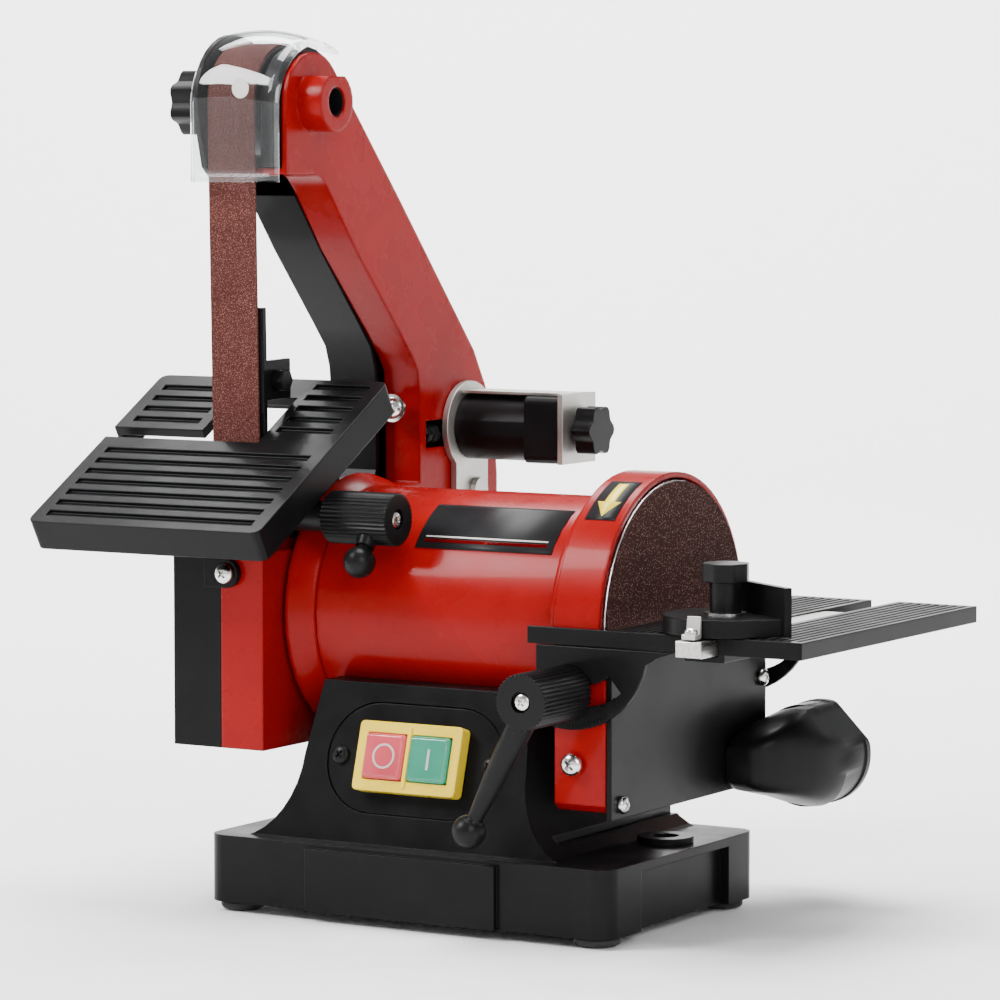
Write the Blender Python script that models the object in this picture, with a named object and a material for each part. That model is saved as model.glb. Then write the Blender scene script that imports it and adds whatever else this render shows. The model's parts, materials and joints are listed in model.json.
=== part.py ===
"""Belt and disc sander: 25 mm x 762 mm abrasive belt and a 125 mm abrasive disc on one motor shaft.

Lengths are in millimetres and are measured from the centre of the abrasive disc's face:
X runs along the motor shaft towards the disc, Y runs to the back, Z runs up.
place() turns them into metres in the object's own frame, which stands on its feet.
"""

import math

import bmesh
import bpy
from mathutils import Matrix, Vector

MM = 0.001

# The point that becomes the object's origin: the middle of its box, under its feet.
ORIGIN_X = -86.4
ORIGIN_Y = 11.5
FLOOR_Z = -131.0

# Wheels of the belt, as (y, z, radius), and the belt itself.
UPPER = (-23.9, 228.4, 25.0)
DRIVE = (0.0, 0.0, 44.0)
IDLER = (109.0, 75.0, 20.0)
BELT_X = (-214.1, -189.1)
BELT_THICK = 1.0

# Belt housing: outer faces and the plane where cover and frame meet.
COVER_X = -219.0
PARTING_X = -193.6
FRAME_X = -174.1
WALL = 2.6
LOWER_FRAME_X = -170.8

# Motor and disc.
MOTOR_R = 54.0
SHAFT_R = 7.0
DISC_R = 62.5
GUARD_R = 66.0
GUARD_X = (-24.3, -2.0)

# Belt table: pivot (y, z), tilt of the table at rest and its edges along X and along its own depth.
BELT_TABLE_PIVOT = (-47.5, 79.0)
BELT_TABLE_TILT = 29.7
BELT_TABLE_X = (-269.5, -144.8)
BELT_TABLE_U = (-77.0, 46.0)
BELT_LOCK = (-55.0, 44.2)

# Disc table: top, edges and the axis (x, z) that it tilts about.
TABLE_TOP = 2.7
TABLE_THICK = 7.4
DISC_TABLE_X = (4.7, 96.7)
DISC_TABLE_Y = (-69.0, 104.5)
DISC_TILT = (-8.0, -2.0)
DISC_LOCK = (-15.0, -25.0)
SLOT_X = (44.3, 57.3)
MITRE = (50.8, -50.0)
MITRE_TURN = -34.0
PORT = (19.5, -68.5)
PORT_MOUTH = (57, -64)

# Base casting and its slanted switch panel.
BASE_X = (-189.0, 17.0)
BASE_Y = (-91.0, 45.0)
BASE_TOP = -97.0
BASE_BOTTOM = -127.0
PANEL = (-91.7, -70.35, -60.0)
PANEL_TILT = -16.2

GAP = 0.3


def place(x, y, z):
    return Vector(((x - ORIGIN_X) * MM, (y - ORIGIN_Y) * MM, (z - FLOOR_Z) * MM))


def clear_scene():
    for obj in list(bpy.data.objects):
        bpy.data.objects.remove(obj)


def finish_material(name, colour, roughness, metallic=0.0, alpha=1.0):
    material = bpy.data.materials.new(name)
    material.use_nodes = True
    shader = material.node_tree.nodes["Principled BSDF"]
    shader.inputs["Base Color"].default_value = (*colour, 1.0)
    shader.inputs["Roughness"].default_value = roughness
    shader.inputs["Metallic"].default_value = metallic
    shader.inputs["Alpha"].default_value = alpha
    return material


clear_scene()
RED = finish_material("red_paint", (0.55, 0.02, 0.02), 0.25)
BLACK = finish_material("black_paint", (0.012, 0.012, 0.013), 0.35)
PLASTIC = finish_material("black_plastic", (0.015, 0.015, 0.016), 0.45)
RUBBER = finish_material("rubber", (0.01, 0.01, 0.01), 0.8)
STEEL = finish_material("steel", (0.6, 0.6, 0.6), 0.3, 1.0)
ALUMINIUM = finish_material("aluminium", (0.75, 0.75, 0.76), 0.35, 1.0)
ABRASIVE = finish_material("abrasive", (0.13, 0.045, 0.035), 0.9)
CLEAR = finish_material("clear", (0.9, 0.92, 0.95), 0.05, 0.0, 0.3)
YELLOW = finish_material("yellow_plastic", (0.8, 0.6, 0.03), 0.4)
RED_BUTTON = finish_material("red_button", (0.6, 0.04, 0.06), 0.3)
GREEN_BUTTON = finish_material("green_button", (0.02, 0.35, 0.2), 0.3)
COPPER = finish_material("copper", (0.6, 0.25, 0.1), 0.4, 1.0)


def solid(name, bm, material, pivot):
    """Makes an object from points in millimetres, with its origin at pivot."""
    bmesh.ops.recalc_face_normals(bm, faces=bm.faces)
    origin = place(*pivot)
    for vert in bm.verts:
        vert.co = place(*vert.co) - origin
    mesh = bpy.data.meshes.new(name)
    bm.to_mesh(mesh)
    bm.free()
    mesh.materials.append(material)
    mesh.shade_smooth()
    mesh.set_sharp_from_angle(angle=math.radians(30))
    obj = bpy.data.objects.new(name, mesh)
    obj.location = origin
    bpy.context.scene.collection.objects.link(obj)
    return obj


def on_axis(axis, a, b, along):
    """A point from its two coordinates across an axis and the one along it."""
    return {"X": (along, a, b), "Y": (a, along, b), "Z": (a, b, along)}[axis]


def prism(name, axis, outline, low, high, material=BLACK, pivot=(0, 0, 0)):
    bm = bmesh.new()
    ends = [[bm.verts.new(on_axis(axis, a, b, along)) for a, b in outline] for along in (low, high)]
    bm.faces.new(ends[0])
    bm.faces.new(ends[1])
    count = len(outline)
    for i in range(count):
        j = (i + 1) % count
        bm.faces.new((ends[0][i], ends[0][j], ends[1][j], ends[1][i]))
    return solid(name, bm, material, pivot)


def ring_prism(name, axis, outer, inner, low, high, material=BLACK, pivot=(0, 0, 0)):
    """A closed band between two outlines with the same number of points."""
    bm = bmesh.new()
    loops = []
    for outline, along in ((outer, low), (outer, high), (inner, high), (inner, low)):
        loops.append([bm.verts.new(on_axis(axis, a, b, along)) for a, b in outline])
    count = len(outer)
    for k in range(4):
        first, second = loops[k], loops[(k + 1) % 4]
        for i in range(count):
            j = (i + 1) % count
            bm.faces.new((first[i], first[j], second[j], second[i]))
    return solid(name, bm, material, pivot)


def lathe(name, axis, centre, profile, material=BLACK, segments=24, pivot=(0, 0, 0)):
    """Turns a closed profile of (radius, along) points round an axis through centre."""
    bm = bmesh.new()
    rings = []
    for radius, along in profile:
        if radius == 0:
            rings.append([bm.verts.new(on_axis(axis, *centre, along))] * segments)
            continue
        rings.append(
            [
                bm.verts.new(on_axis(axis, a, b, along))
                for a, b in arc(*centre, radius, 0, 360, segments)[:-1]
            ]
        )
    for k, first in enumerate(rings):
        second = rings[(k + 1) % len(rings)]
        for i in range(segments):
            j = (i + 1) % segments
            corners = list(dict.fromkeys((first[i], first[j], second[j], second[i])))
            if len(corners) > 2:
                bm.faces.new(corners)
    return solid(name, bm, material, pivot)


def arc(a, b, radius, start, end, steps):
    """Points of an arc, with both of its ends."""
    angles = [math.radians(start + (end - start) * i / steps) for i in range(steps + 1)]
    return [(a + radius * math.cos(t), b + radius * math.sin(t)) for t in angles]


def circle(a, b, radius, steps=24):
    return arc(a, b, radius, 0, 360, steps)[:-1]


def rod(name, axis, centre, radius, low, high, material=BLACK, steps=16, pivot=(0, 0, 0)):
    return prism(name, axis, circle(*centre, radius, steps), low, high, material, pivot)


def rectangle(a, b):
    return [(a[0], b[0]), (a[1], b[0]), (a[1], b[1]), (a[0], b[1])]


def block(name, x, y, z, material=BLACK, pivot=(0, 0, 0)):
    return prism(name, "Z", rectangle(x, y), z[0], z[1], material, pivot)


def rounded(a, b, radius, steps=5):
    """A rectangle with round corners."""
    points = []
    corners = ((a[1], b[1], 0), (a[0], b[1], 90), (a[0], b[0], 180), (a[1], b[0], 270))
    for corner_a, corner_b, start in corners:
        centre_a = corner_a - math.copysign(radius, corner_a - sum(a) / 2)
        centre_b = corner_b - math.copysign(radius, corner_b - sum(b) / 2)
        points += arc(centre_a, centre_b, radius, start, start + 90, steps)
    return points


def inset(outline, distance):
    """Moves each side of an anticlockwise outline inwards."""
    result = []
    count = len(outline)
    for i in range(count):
        before, here, after = (Vector(outline[(i + k) % count]) for k in (-1, 0, 1))
        first = (here - before).normalized()
        second = (after - here).normalized()
        normal = Vector((-first.y, first.x))
        mitre = (normal + Vector((-second.y, second.x))).normalized()
        result.append(tuple(here + mitre * distance / max(mitre.dot(normal), 0.3)))
    return result


def lobes(a, b, radius, depth, count, steps=4):
    """A star knob's outline."""
    total = count * steps * 2
    points = []
    for i in range(total):
        angle = 2 * math.pi * i / total
        reach = radius - depth * (0.5 - 0.5 * math.cos(count * angle))
        points.append((a + reach * math.cos(angle), b + reach * math.sin(angle)))
    return points


def boolean(target, others, operation):
    for other in others:
        other.hide_render = True
        other.display_type = "WIRE"
        modifier = target.modifiers.new(other.name, "BOOLEAN")
        modifier.operation = operation
        modifier.object = other
    return target


def cut(target, *others):
    return boolean(target, others, "DIFFERENCE")


def join(target, *others):
    return boolean(target, others, "UNION")


def swing(objects, pivot, axis, degrees):
    """Turns finished objects about an axis through pivot."""
    centre = place(*pivot)
    turn = (
        Matrix.Translation(centre)
        @ Matrix.Rotation(math.radians(degrees), 4, axis)
        @ Matrix.Translation(-centre)
    )
    for obj in objects:
        obj.matrix_world = turn @ Matrix.Translation(obj.location)


def belt_outline(offset, steps=12):
    """The closed path round the three wheels, at a distance outside their rims."""
    wheels = (DRIVE, IDLER, UPPER)
    leave = []
    for i in range(3):
        y1, z1, r1 = wheels[i]
        y2, z2, r2 = wheels[(i + 1) % 3]
        along = math.atan2(z2 - z1, y2 - y1)
        lean = math.acos((r1 - r2) / math.hypot(y2 - y1, z2 - z1))
        leave.append(math.degrees(along - lean))
    points = []
    for i in range(3):
        y, z, radius = wheels[i]
        start = leave[i - 1]
        end = leave[i]
        while end < start:
            end += 360
        points += arc(y, z, radius + offset, start, end, steps)
    return points


def flare(x, reach, start, end, steps=9):
    """The curved foot of the pedestal: a quarter of an ellipse that runs out into the base's top."""
    return [(x + a * reach, -60 + b * (-60 - BASE_TOP + 1.5)) for a, b in arc(0, 0, 1, start, end, steps)]


def build_base():
    plinth = prism("base_casting", "Z", rounded(BASE_X, BASE_Y, 9), BASE_BOTTOM, BASE_TOP, BLACK)
    left = [(-144.5, -28), (-147, -46), *flare(-180, 31, 0, -90), (-180, -106)]
    right = [(-5, -106), *flare(-5, 30, 270, 180), (-36.5, -46), (-38.5, -28)]
    pedestal = prism("pedestal", "Y", left + right, -100, 60)
    side = [(-61.4, -27), (-81.7, -97.0), (-84.5, -107), (41, -107), (41, -27)]
    boolean(pedestal, [prism("pedestal_side", "X", side, -200, 20)], "INTERSECT")
    pad = block("front_pad", (-135, -38), (-93.5, -80), (BASE_BOTTOM + 0.01, -99))
    bosses = [rod("bolt_boss_right", "Z", (-2.5, -5), 12.5, -110, -94.5)]
    bosses.append(rod("bolt_boss_left", "Z", (-174, -5), 12.5, -110, -94.5))
    join(plinth, pedestal, pad, *bosses)
    cut(
        plinth,
        block("skirt_right", (12.5, 20), (-62, 18), (-130, -101)),
        block("skirt_left", (-192, -184.5), (-62, 18), (-130, -101)),
        block("underside", (-162, -14), (-70, 29), (-130, -104)),
        block("switch_room", (-134, -50), (-58, 34), (-112, -60)),
        rod("saddle", "X", (0, 0), MOTOR_R + 0.6, -155.0, -29.7, BLACK, 36),
        rod("saddle_left", "X", (0, 0), 59.5 + 0.6, -180, -154.5, BLACK, 36),
        rod("bolt_hole_right", "Z", (-2.5, -5), 6.0, -130, -90),
        rod("bolt_hole_left", "Z", (-174, -5), 6.0, -130, -90),
        rod("gland_hole", "Y", (-92, -85), 7.0, 25, 60),
        block("box_room", (-25, 8), (-66, 84), (-92, -20)),
    )
    x, y, z = PANEL
    recess = prism("panel_recess", "Y", rounded((x - 45.5, x + 45.5), (z - 25, z + 25), 24.9, 8), y - 12,
        y + 2.0)
    window = block("switch_window", (x - 22.5, x + 22.5), (y - 5, y + 26), (z - 12.5, z + 12.5))
    cut(plinth, recess, window)
    swing([recess, window], PANEL, "X", PANEL_TILT)


def build_feet():
    for name, x, y in (
        ("foot_front_left", -177, -79),
        ("foot_front_right", 5, -79),
        ("foot_rear_left", -177, 33),
        ("foot_rear_right", 5, 33),
    ):
        profile = [(0, FLOOR_Z), (8.5, FLOOR_Z), (10, FLOOR_Z + 1), (10, BASE_BOTTOM - GAP),
            (0, BASE_BOTTOM - GAP)]
        lathe(name, "Z", (x, y), profile, RUBBER, 20)


def build_switch():
    x, y, z = PANEL
    plate = prism(
        "switch_plate", "Y", rounded((x - 45.2, x + 45.2), (z - 24.7, z + 24.7), 24.6, 8), y - 0.2,
            y + 1.7, PLASTIC
    )
    hole = block("plate_window", (x - 22.8, x + 22.8), (y - 5, y + 5), (z - 12.8, z + 12.8))
    cut(plate, hole)
    bezel = prism("switch_bezel", "Y", rounded((x - 26.3, x + 26.3), (z - 15.5, z + 15.5), 2, 3), y - 7.5,
        y - 0.5, YELLOW)
    body = block("switch_body", (x - 22.2, x + 22.2), (y - 2, y + 22), (z - 12.2, z + 12.2))
    join(bezel, body)
    pieces = [plate, hole, bezel, body]
    for name, low, high, material in (
        ("off_button", x - 21.6, x - 1.2, RED_BUTTON),
        ("on_button", x + 1.2, x + 21.6, GREEN_BUTTON),
    ):
        pocket = block(name + "_pocket", (low, high), (y - 9, y + 3), (z - 10.4, z + 10.4))
        cut(bezel, pocket)
        face = prism(
            name, "Y", rounded((low + GAP, high - GAP), (z - 10.1, z + 10.1), 1.5, 2), y - 8.5, y - 0.8,
                material,
            ((low + high) / 2, y, z),
        )
        pieces += [pocket, face]
    swing(pieces, PANEL, "X", PANEL_TILT)


def build_base_fittings():
    rod("capacitor", "X", (-8, -90), 12, -122, -62, PLASTIC, 20)
    profile = [(3.5, 36.0), (6.7, 36.0), (6.7, 41.3), (10, 41.3), (10, 46), (7, 49), (5.5, 58), (3.5, 58)]
    lathe("cable_gland", "Y", (-92, -85), profile, RUBBER, 20)


def build_motor():
    outer = circle(0, 0, MOTOR_R, 36)
    inner = circle(0, 0, MOTOR_R - 2.2, 36)
    ring_prism("motor_shell", "X", outer, inner, -154.5, -30.3, RED)
    bell = [(16.3, -168.5), (58, -168.5), (59.2, -167.6), (59.5, -166), (58, -161.5), (56, -157.8),
        (54.3, -154.8)]
    bell += [(50, -154.8), (50, -163), (20, -163), (20, -155.5), (16.3, -155.5)]
    lathe("end_bell_left", "X", (0, 0), bell, RED, 36)
    bell = [(16.3, -41), (21, -41), (21, -33), (51.5, -33), (51.5, -30), (60, -30), (61, -28.5)]
    bell += [(61, -24.7), (16.3, -24.7)]
    lathe("end_bell_right", "X", (0, 0), bell, RED, 36)
    core = [(29.6, -125), (34, -125), (34, -139), (46, -139), (46, -125), (50.6, -125), (50.6, -70)]
    core += [(46, -70), (46, -56), (34, -56), (34, -70), (29.6, -70)]
    lathe("stator", "X", (0, 0), core, COPPER, 20)
    lathe("rotor_core", "X", (0, 0), [(7.2, -126), (29, -126), (29, -69), (7.2, -69)], STEEL, 20)
    rod("motor_shaft", "X", (0, 0), SHAFT_R, -213, -6, STEEL, 20)
    for name, low in (("bearing_left", -167.5), ("bearing_right", -38.5)):
        lathe(name, "X", (0, 0), [(7.2, low), (16, low), (16, low + 11), (7.2, low + 11)], STEEL, 20)
    fan = prism("cooling_fan", "X", lobes(0, 0, 42, 22, 7, 2), -52, -46, PLASTIC)
    cut(fan, rod("fan_bore", "X", (0, 0), 7.2, -60, -40, BLACK, 20))


def frame_outline():
    """Outline of the red frame in Y and Z, anticlockwise as seen from +X."""
    points = [(-72, -61), (60, -61), (76, -46), (134, 22), (137.5, 34), (137.5, 50), (134.5, 74)]
    points += [(126.2, 94), (116, 110.7), (96, 132.5), (49.3, 183.4)]
    points += arc(UPPER[0], UPPER[1], 22.5, 42, 180, 12)
    points += [(-46.4, 196), (-22, 196), (-17, 194), (-12.3, 189.6), (11.1, 161), (48.2, 122.8)]
    points += [(60, 110), (64.9, 103), (66.6, 92), (66.6, 50), (-58, 50), (-66, 45), (-72, 34)]
    return points


def cover_outline():
    """Outline of the black cover: wider round the upper wheel and behind the belt."""
    points = [(-72, -61), (60, -61), (76, -46), (134, 22), (137.5, 34), (137.5, 50), (134.5, 74)]
    points += [(128, 94), (119, 110.7), (102, 130), (60, 178)]
    points += arc(UPPER[0], UPPER[1], 31, 42, 200, 14)
    points += [(-48, 199), (-38, 191.8), (-20, 191.8), (-13, 189), (10.8, 160.7), (46, 123)]
    points += [(54, 114), (57.6, 104), (58.6, 94), (58.6, 56), (56, 50), (-58, 50), (-66, 45), (-72, 34)]
    return points


def belt_clearance(name):
    """A band that keeps walls clear of the running belt."""
    return ring_prism(name, "X", belt_outline(4.0), belt_outline(-3.0), COVER_X + WALL + 0.2,
        BELT_X[1] + 2.0)


def build_frame():
    outline = frame_outline()
    frame = prism("belt_frame", "X", outline, PARTING_X + GAP, FRAME_X, RED)
    head_boss = prism(
        "head_boss", "X", arc(-25.2, 228.4, 13.4, 120, 420, 18), FRAME_X - 1, -160.8
    )
    lower_skin = prism("lower_skin", "X", [(-72, -61), (60, -61), (60, 28), (-72, 28)],
                       FRAME_X - 1, LOWER_FRAME_X)
    join(frame, head_boss, lower_skin)
    cut(
        frame,
        prism("frame_hollow", "X", inset(outline, WALL), -200, FRAME_X - WALL),
        block("frame_head_open", (-200, FRAME_X - WALL), (-60, 12), (196.1 + WALL, 260)),
        belt_clearance("frame_belt_gap"),
        rod("frame_shaft_hole", "X", (0, 0), 10, -200, -160),
        rod("frame_axle_hole", "X", (UPPER[0], UPPER[1]), 5.2, -200, -150),
        rod("frame_boss_bore", "X", (-25.2, 228.4), 6.8, -171.2, -150, BLACK, 20),
        block("spring_window", (-180, -170), (72, 100), (66, 79)),
        rod("idler_window", "X", IDLER[:2], 12, -180, -170),
        rod("frame_lock_hole", "X", BELT_LOCK, 4.4, -185, -160),
        rod("stem_pin_hole", "X", (112, 44), 3.4, -185, -165),
    )
    return frame


def build_cover():
    outline = cover_outline()
    cover = prism("belt_cover", "X", outline, COVER_X, PARTING_X, BLACK)
    lug = rod("cover_lug", "Y", (-188.5, 18.2), 6.5, -75.5, -72.3)
    cut(
        cover,
        prism("cover_hollow", "X", inset(outline, WALL), COVER_X + WALL, -180),
        block("cover_head_front", (COVER_X + WALL, -180), (-70, 0), (186, 270)),
        belt_clearance("cover_belt_gap"),
        rod("cover_axle_hole", "X", (UPPER[0], UPPER[1]), 5.2, -230, -190),
    )
    bridge = block("lug_bridge", (-200, -188), (-75.5, -72.3), (11.7, 24.7))
    root = block("lug_root", (-200, -194.2), (-75.4, -69), (11.7, 24.7))
    join(cover, root, bridge, lug)
    cut(cover, rod("lug_hole", "Y", (-188.5, 18.2), 2.6, -80, -60, BLACK, 12))
    profile = [(0, -79.0), (3, -78.8), (4.6, -77.0), (4.6, -75.8), (2.3, -75.8), (2.3, -72.4), (0, -72.4)]
    lathe("cover_screw", "Y", (-188.5, 18.2), profile, STEEL, 12)


def build_upper_wheel():
    y, z, radius = UPPER
    pivot = (-201.6, y, z)
    low, high = BELT_X[0] - 0.4, BELT_X[1] + 0.4
    profile = [(5.3, low), (radius, low)]
    profile += [(radius, high), (21, high), (21, high - 4), (10, high - 4), (5.3, high - 4)]
    lathe("upper_wheel", "X", (y, z), profile, PLASTIC, 28, pivot)
    rod("upper_axle", "X", (y, z), 4.9, -232, -176, STEEL, 16)
    shroud = prism("wheel_shroud", "X", arc(y, z, 25.2, -35, 180, 16) + [(y - 25.2, 199.5),
        (y + 10, 199.5)],
                   -186.8, FRAME_X - WALL - GAP, PLASTIC)
    cut(shroud, rod("shroud_bore", "X", (y, z), 5.3, -200, -170))
    outer = [(y - 33.5, 192.3), (y - 33.5, z)] + arc(y, z, 33.5, 174, 46, 14)
    inner = [(y - 32.1, 192.3), (y - 32.1, z)] + arc(y, z, 32.1, 174, 46, 14)
    hood = prism("upper_guard", "X", outer + inner[::-1], -220.9, -171.5, CLEAR)
    side = prism("guard_side", "X", [(y - 33, 192.31), (y + 10, 192.31)] + arc(y, z, 33, 46, 180, 14),
                 -220.9, -219.4)
    join(hood, side)
    beside_arch = block("guard_beside_arch", (-192, -160), (y - 29, y + 50), (z + 11, z + 50))
    cut(hood, rod("guard_bore", "X", (y, z), 9.5, -230, -215), beside_arch)
    knob = prism("cover_knob", "X", lobes(y, z, 15.0, 2.6, 7, 3), -243.5, -228.5, PLASTIC, (-236, y, z))
    collar = rod("cover_knob_collar", "X", (y, z), 9.0, -229, -219.3)
    join(knob, collar)
    cut(knob, rod("cover_knob_bore", "X", (y, z), 5.2, -235, -210))


def build_wheels_below():
    low, high = BELT_X[0] - 0.4, BELT_X[1] + 0.4
    profile = [(7.2, low), (DRIVE[2], low), (DRIVE[2], high), (38, high), (38, high - 9), (14, high - 9)]
    profile += [(14, high), (7.2, high)]
    lathe("drive_wheel", "X", (0, 0), profile, ALUMINIUM, 36)
    y, z, radius = IDLER
    profile = [(5.2, low), (radius, low), (radius, high), (5.2, high)]
    lathe("idler_wheel", "X", (y, z), profile, PLASTIC, 24, (-201.6, y, z))
    rod("idler_axle", "X", (y, z), 4.8, -215.6, -172.0, STEEL, 16)


def build_tension():
    y, z = IDLER[:2]
    ring_y = 107.2
    plate = rod("tension_plate", "X", (ring_y, z), 21.6, FRAME_X + 0.4, FRAME_X + 3.6, STEEL, 28)
    stem = block("tension_stem", (FRAME_X + 0.4, FRAME_X + 3.6), (94, 123), (38, 66))
    join(plate, stem)
    cut(plate, rod("stem_pin_bore", "X", (112, 44), 3.4, -180, -165))
    cut(plate, rod("plate_axle_bore", "X", (y, z), 5.1, -180, -165))
    profile = [(0, -177.5), (3.0, -177.5), (3.0, -170.2), (6.0, -170.2), (6.0, -167.4), (0, -167.4)]
    lathe("tension_pin", "X", (112, 44), profile, STEEL, 14)
    housing = rod("tracking_housing", "X", (ring_y, z), 15.8, -170.2, -128, PLASTIC, 28)
    square = prism("tracking_square", "X",
        rounded((ring_y - 15.7, ring_y + 15.7), (z - 15.8, z + 15.8), 4, 3), -132, -114)
    join(housing, square)
    cut(housing, rod("tracking_bore", "X", (ring_y, z), 9, -180, -119))
    cut(housing, rod("tracking_screw_bore", "X", (ring_y, z), 3.4, -122, -110))
    bracket = block("tracking_strip", (-170.2, -110.9), (ring_y - 9, ring_y + 9), (z + 16.1, z + 17.5),
        STEEL)
    end = block("tracking_end", (-113.6, -110.9), (ring_y - 15.8, ring_y + 15.8), (z - 15.8, z + 17.2))
    join(bracket, end)
    cut(bracket, rod("tracking_end_bore", "X", (ring_y, z), 3.4, -120, -100))
    knob = prism("tracking_knob", "X", lobes(ring_y, z, 12.4, 2.6, 6, 3), -108.5, -98.5, PLASTIC,
        (-104, ring_y, z))
    screw = rod("tracking_knob_screw", "X", (ring_y, z), 3.1, -160, -104)
    neck = rod("tracking_knob_neck", "X", (ring_y, z), 7, -110.6, -108)
    join(knob, screw, neck)
    build_spring()


def build_spring():
    """Compression spring that pushes the tension plate back, shown in the frame's window."""
    turns, steps, wire, radius = 6, 9, 0.85, 4.3
    curve = bpy.data.curves.new("tension_spring", "CURVE")
    curve.dimensions = "3D"
    curve.bevel_depth = wire * MM
    curve.bevel_resolution = 0
    curve.use_fill_caps = True
    spline = curve.splines.new("POLY")
    spline.points.add(turns * steps)
    for i, point in enumerate(spline.points):
        angle = 2 * math.pi * i / steps
        along = 73.6 + 11.6 * i / (turns * steps)
        spot = place(-178.6 + radius * math.cos(angle), along, 72.5 + radius * math.sin(angle))
        point.co = (*spot, 1.0)
    curve.materials.append(STEEL)
    obj = bpy.data.objects.new("tension_spring", curve)
    bpy.context.scene.collection.objects.link(obj)


def build_belt_and_platen():
    ring_prism("abrasive_belt", "X", belt_outline(BELT_THICK + 0.5), belt_outline(0.5), *BELT_X, ABRASIVE)
    face = -45.9
    platen = block("platen", (-213.0, -187.0), (face, face + 3.0), (88.0, 136.0), STEEL)
    foot = block("platen_foot", (-200, -187.0), (face + 0.5, face + 3.0), (50.6, 92.0))
    flange = block("platen_flange", (-189.5, -187.0), (face + 0.5, face + 22.0), (94.0, 112.0))
    join(platen, foot, flange)
    swing([platen, foot, flange], (-200, face, 88), "X", 1.23)
    prism("platen_bolt", "X", circle(-35.5, 103, 5.4, 6), -186.6, -181.5, STEEL)


def build_fasteners():
    profile = [(0, 50.5), (2.5, 51.2), (4.4, 53.2), (5, 56), (5, 58), (6.6, 58), (6.6, 59.6), (2.4, 59.6),
        (2.4, 63.6), (0, 63.6)]
    lathe("frame_bolt", "Y", (-184.2, 85.5), profile, STEEL, 14)
    for name, y, z in (("dust_cover_screw_front", -55.5, -74), ("dust_cover_screw_rear", 74.5, -32)):
        profile = [(0, 6.6), (2.2, 6.4), (3.9, 4.9), (3.9, 3.8), (1.9, 3.8), (1.9, 1.2), (0, 1.2)]
        lathe(name, "X", (y, z), profile, STEEL, 12)
    profile = [(0, -70.3), (3, -70.1), (5, -68.2), (5, -66.3), (2.4, -66.3), (2.4, -61.0), (0, -61.0)]
    lathe("guard_screw", "Y", (-14.5, -56.5), profile, STEEL, 12)


def build_belt_table():
    y0, z0 = BELT_TABLE_PIVOT
    x_low, x_high = BELT_TABLE_X
    y_low, y_high = (y0 + u for u in BELT_TABLE_U)
    pivot = (sum(BELT_TABLE_X) / 2, y0, z0)
    top = z0 + 0.3
    table = prism("belt_table", "Z", rounded((x_low, x_high), (y_low, y_high), 4, 3), top - 15, top, BLACK,
        pivot)
    hollow = block("belt_table_hollow", (x_low + 3, x_high - 3), (y_low + 3, y_high - 3),
        (top - 20, top - 4.5))
    notch = block("belt_notch", (-220, -185.4), (y0 - 7.0, y0 + 30), (top - 30, top + 5))
    slot = block("belt_slot", (x_low - 5, -219), (y0 - 7.0, y0 + 1.0), (top - 30, top + 5))
    cutters = [hollow, notch, slot]
    strips = [(x_low + 7, x_high - 7, y0 - 71.5 + 8.6 * i) for i in range(7)]
    strips += [(x_low + 7, -226, y0 + 6.5 + 8.9 * i) for i in range(4)]
    strips += [(-181, x_high - 7, y0 + 2 + 8.9 * i) for i in range(5)]
    for i, (low, high, start) in enumerate(strips):
        cutters.append(block(f"belt_table_groove_{i}", (low, high), (start, start + 4.2),
            (top - 1.6, top + 2)))
    cut(table, *cutters)
    bracket = prism("belt_table_bracket", "X",
        [(y0 - 30, top - 4.8), (y0 - 38, top - 16), (y0 - 36, top - 31),
                    (y0 - 20, top - 42), (y0, top - 45), (y0 + 20, top - 40), (y0 + 30, top - 22),
                        (y0 + 30, top - 4.8)],
                    FRAME_X + 1.2, FRAME_X + 4.4, BLACK, pivot)
    reach = math.hypot(BELT_LOCK[0] - y0, BELT_LOCK[1] - z0)
    rest = math.degrees(math.atan2(BELT_LOCK[1] - z0, BELT_LOCK[0] - y0)) - BELT_TABLE_TILT
    first, last = rest - 24, rest + 38
    outline = arc(y0, z0, reach + 4.4, first, last, 8) + arc(y0, z0, reach - 4.4, last, first, 8)
    groove = prism("bracket_slot", "X", outline, -180, -160)
    cut(bracket, groove)
    swing([table, bracket, groove, *cutters], (0, y0, z0), "X", BELT_TABLE_TILT)


def lever(name, start, end, thick, thin):
    """A tapered arm between two points, as a ring of four-sided sections turned round."""
    bm = bmesh.new()
    direction = (Vector(end) - Vector(start)).normalized()
    side = direction.orthogonal().normalized()
    up = direction.cross(side)
    rings = []
    for centre, radius in ((start, thick), (end, thin)):
        ring = []
        for i in range(10):
            angle = 2 * math.pi * i / 10
            ring.append(bm.verts.new(Vector(centre) + side * radius * math.cos(angle) + up * radius * math.sin(angle)))
        rings.append(ring)
    bm.faces.new(rings[0])
    bm.faces.new(rings[1])
    for i in range(10):
        j = (i + 1) % 10
        bm.faces.new((rings[0][i], rings[0][j], rings[1][j], rings[1][i]))
    return solid(name, bm, PLASTIC, (0, 0, 0))


def ball(name, centre, radius):
    bm = bmesh.new()
    bmesh.ops.create_uvsphere(bm, u_segments=12, v_segments=8, radius=radius)
    for vert in bm.verts:
        vert.co += Vector(centre)
    return solid(name, bm, PLASTIC, (0, 0, 0))


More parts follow.
